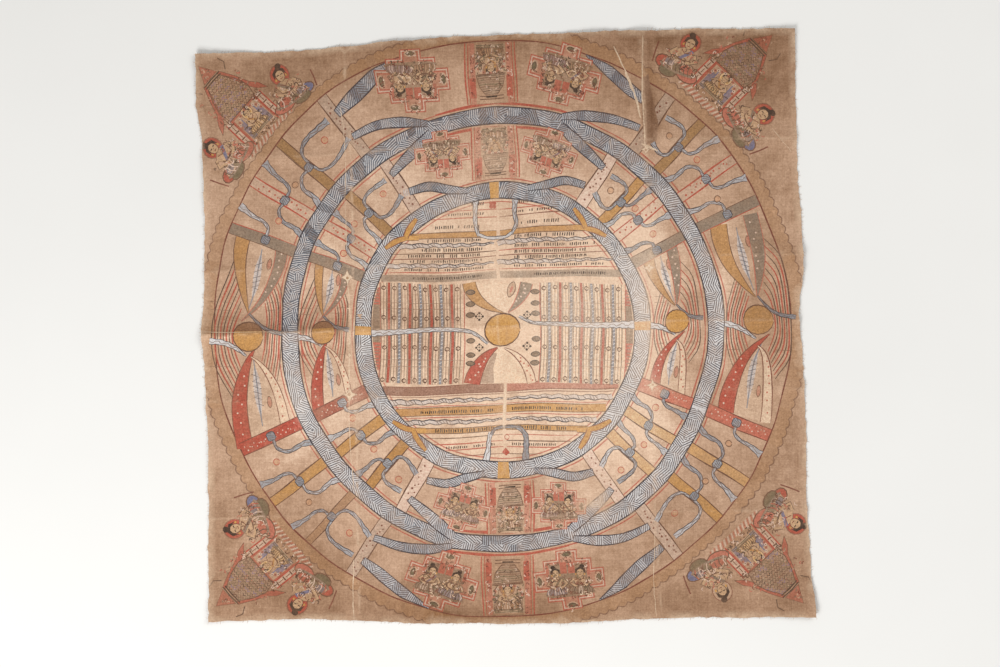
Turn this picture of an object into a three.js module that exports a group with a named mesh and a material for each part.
// A large square chart painted on one cotton cloth, opened out and lying face up on a flat surface.
// The sheet keeps the lines in which it was folded for storage: three folds down it, five across it.
// Units are millimetres. The painted face looks to +Z and the top of the painting lies to +Y.

import * as THREE from 'three';
import { mergeVertices } from 'three/addons/utils/BufferGeometryUtils.js';

// Driving dimensions
const CLOTH_THICKNESS = 1.2;
const COLUMNS = 26;
const ROWS = 24;
const FOLD_LINE_STEPS = [-1, -0.35, 0, 0.35, 1];

// The cut edges, pulled out of true: how far each runs from the middle of the cloth.
// share is the place along the edge, from the left or from the bottom corner.
const TOP_EDGE = [
  { share: 0.00, y: 408.0 },
  { share: 0.13, y: 411.0 },
  { share: 0.19, y: 414.0 },
  { share: 0.25, y: 420.0 },
  { share: 0.34, y: 428.5 },
  { share: 0.45, y: 434.5 },
  { share: 0.57, y: 438.5 },
  { share: 0.74, y: 443.5 },
  { share: 0.84, y: 446.0 },
  { share: 1.00, y: 446.0 },
];
const BOTTOM_EDGE = [
  { share: 0.00, y: -443.0 },
  { share: 0.05, y: -442.0 },
  { share: 0.13, y: -438.5 },
  { share: 0.22, y: -440.0 },
  { share: 0.34, y: -445.0 },
  { share: 0.46, y: -446.0 },
  { share: 0.56, y: -445.5 },
  { share: 0.65, y: -441.5 },
  { share: 0.76, y: -437.0 },
  { share: 1.00, y: -436.0 },
];
const LEFT_EDGE = [
  { share: 0.00, x: -445.0 },
  { share: 0.30, x: -445.5 },
  { share: 0.38, x: -448.5 },
  { share: 0.44, x: -452.0 },
  { share: 0.51, x: -455.5 },
  { share: 0.58, x: -452.5 },
  { share: 0.66, x: -451.0 },
  { share: 0.76, x: -452.0 },
  { share: 0.84, x: -455.5 },
  { share: 0.92, x: -464.0 },
  { share: 1.00, x: -465.0 },
];
const RIGHT_EDGE = [
  { share: 0.00, x: 465.0 },
  { share: 0.08, x: 458.0 },
  { share: 0.20, x: 451.5 },
  { share: 0.33, x: 450.5 },
  { share: 0.44, x: 445.5 },
  { share: 0.52, x: 440.0 },
  { share: 0.60, x: 446.5 },
  { share: 0.66, x: 444.0 },
  { share: 0.73, x: 439.5 },
  { share: 0.82, x: 436.0 },
  { share: 1.00, x: 433.5 },
];

// Storage folds. share is the line's place over the cloth, reach the half width of the lifted strip,
// and the other columns the height of the fold's crest at its two ends and in the middle.
const FOLDS_DOWN = [
  { share: 0.249, reach: 30, bottom: 2.6, middle: 3.4, top: 1.6 },
  { share: 0.495, reach: 26, bottom: 1.2, middle: 1.8, top: 2.2 },
  { share: 0.746, reach: 32, bottom: 2.0, middle: 2.6, top: 5.2 },
];
const FOLDS_ACROSS = [
  { share: 0.181, reach: 24, left: 1.4, middle: 0.6, right: 1.8 },
  { share: 0.388, reach: 26, left: 2.4, middle: 1.2, right: 2.0 },
  { share: 0.505, reach: 38, left: 5.6, middle: 2.4, right: 3.6 },
  { share: 0.616, reach: 28, left: 1.8, middle: 1.4, right: 2.8 },
  { share: 0.814, reach: 26, left: 2.4, middle: 0.8, right: 2.2 },
];

// Places where the slack edge stands a little off the surface: its middle, how far it spreads along X
// and along Y, and how high it stands.
const EDGE_LIFTS = [
  { x: -465, y: 408, alongX: 110, alongY: 90, high: 5.0 },
  { x: -150, y: 425, alongX: 90, alongY: 45, high: 2.6 },
  { x: 130, y: 440, alongX: 70, alongY: 50, high: 3.2 },
  { x: 434, y: 446, alongX: 90, alongY: 120, high: 3.6 },
  { x: 444, y: 85, alongX: 55, alongY: 75, high: 3.8 },
  { x: 465, y: -436, alongX: 120, alongY: 80, high: 5.6 },
  { x: 110, y: -445, alongX: 110, alongY: 42, high: 2.8 },
  { x: -330, y: -440, alongX: 80, alongY: 40, high: 2.2 },
  { x: -445, y: -443, alongX: 75, alongY: 90, high: 4.2 },
  { x: -450, y: -190, alongX: 45, alongY: 85, high: 2.4 },
  { x: -455, y: 205, alongX: 48, alongY: 95, high: 3.0 },
];

// Value of one column of a table at a share, eased between the two rows around it.
function along(table, share, column) {
  const next = table.findIndex((row) => row.share >= share);
  if (next <= 0) return table[Math.max(next, 0)][column];
  const before = table[next - 1];
  const after = table[next];
  const step = (share - before.share) / (after.share - before.share);
  return THREE.MathUtils.lerp(before[column], after[column], THREE.MathUtils.smoothstep(step, 0, 1));
}

// Point of the flat cloth at shares (u, v) of its width and depth.
function pointOnCloth(u, v) {
  const x = THREE.MathUtils.lerp(along(LEFT_EDGE, v, 'x'), along(RIGHT_EDGE, v, 'x'), u);
  const y = THREE.MathUtils.lerp(along(BOTTOM_EDGE, u, 'y'), along(TOP_EDGE, u, 'y'), v);
  return new THREE.Vector2(x, y);
}

const CLOTH_WIDTH = RIGHT_EDGE[0].x - LEFT_EDGE[0].x;
const CLOTH_DEPTH = TOP_EDGE[TOP_EDGE.length - 1].y - BOTTOM_EDGE[BOTTOM_EDGE.length - 1].y;

// A fold's section: a crest at the line, hollow-sided, flat on the surface past its reach.
function foldSection(distance, reach) {
  return Math.max(0, 1 - Math.abs(distance) / reach) ** 1.6;
}

// Crest height at a share of the way along a fold, through its two ends and its middle.
function crest(start, middle, end, share) {
  return share < 0.5
    ? THREE.MathUtils.lerp(start, middle, 2 * share)
    : THREE.MathUtils.lerp(middle, end, 2 * share - 1);
}

// Height of the underside over the surface it lies on.
function lie(u, v) {
  const spot = pointOnCloth(u, v);
  const down = FOLDS_DOWN.map((fold) =>
    crest(fold.bottom, fold.middle, fold.top, v)
    * foldSection((u - fold.share) * CLOTH_WIDTH, fold.reach));
  const across = FOLDS_ACROSS.map((fold) =>
    crest(fold.left, fold.middle, fold.right, u)
    * foldSection((v - fold.share) * CLOTH_DEPTH, fold.reach));
  const lifts = EDGE_LIFTS.map((lift) => {
    const far = Math.hypot((spot.x - lift.x) / lift.alongX, (spot.y - lift.y) / lift.alongY);
    return lift.high * Math.max(0, 1 - far) ** 1.5;
  });
  return Math.max(0, ...down, ...across) + Math.max(0, ...lifts);
}

// Shares of the grid lines: even steps, with the nearest ones moved onto each fold's crest and sides.
function gridShares(steps, folds, length) {
  const lines = folds.flatMap((fold) =>
    FOLD_LINE_STEPS.map((step) => fold.share + step * fold.reach / length));
  const even = Array.from({ length: steps + 1 }, (_, i) => i / steps);
  const clear = 0.45 / steps;
  const kept = even.filter((share) => lines.every((line) => Math.abs(line - share) > clear));
  return [...new Set([0, 1, ...kept, ...lines])].sort((a, b) => a - b);
}

// The sheet: a thin box on those grid lines, its corners joined, then laid to the edges and folds.
function clothGeometry() {
  const across = gridShares(COLUMNS, FOLDS_DOWN, CLOTH_WIDTH);
  const up = gridShares(ROWS, FOLDS_ACROSS, CLOTH_DEPTH);
  const columns = across.length - 1;
  const rows = up.length - 1;
  const box = new THREE.BoxGeometry(columns, rows, 2, columns, rows, 1);
  box.deleteAttribute('normal');
  box.deleteAttribute('uv');
  const sheet = mergeVertices(box);
  const points = sheet.getAttribute('position');
  for (let i = 0; i < points.count; i += 1) {
    const u = across[Math.round(points.getX(i) + columns / 2)];
    const v = up[Math.round(points.getY(i) + rows / 2)];
    const spot = pointOnCloth(u, v);
    const upper = points.getZ(i) > 0 ? CLOTH_THICKNESS : 0;
    points.setXYZ(i, spot.x, spot.y, lie(u, v) + upper);
  }
  sheet.computeBoundingBox();
  const middle = sheet.boundingBox.getCenter(new THREE.Vector3());
  sheet.translate(-middle.x, -middle.y, 0);
  sheet.computeVertexNormals();
  return sheet;
}

const paintedCotton = new THREE.MeshStandardMaterial({ color: 0xbd9a7c, roughness: 0.95, metalness: 0 });

const paintedCloth = new THREE.Mesh(clothGeometry(), paintedCotton);
paintedCloth.name = 'painted_cloth';

const chart = new THREE.Group();
chart.add(paintedCloth);

export default chart;
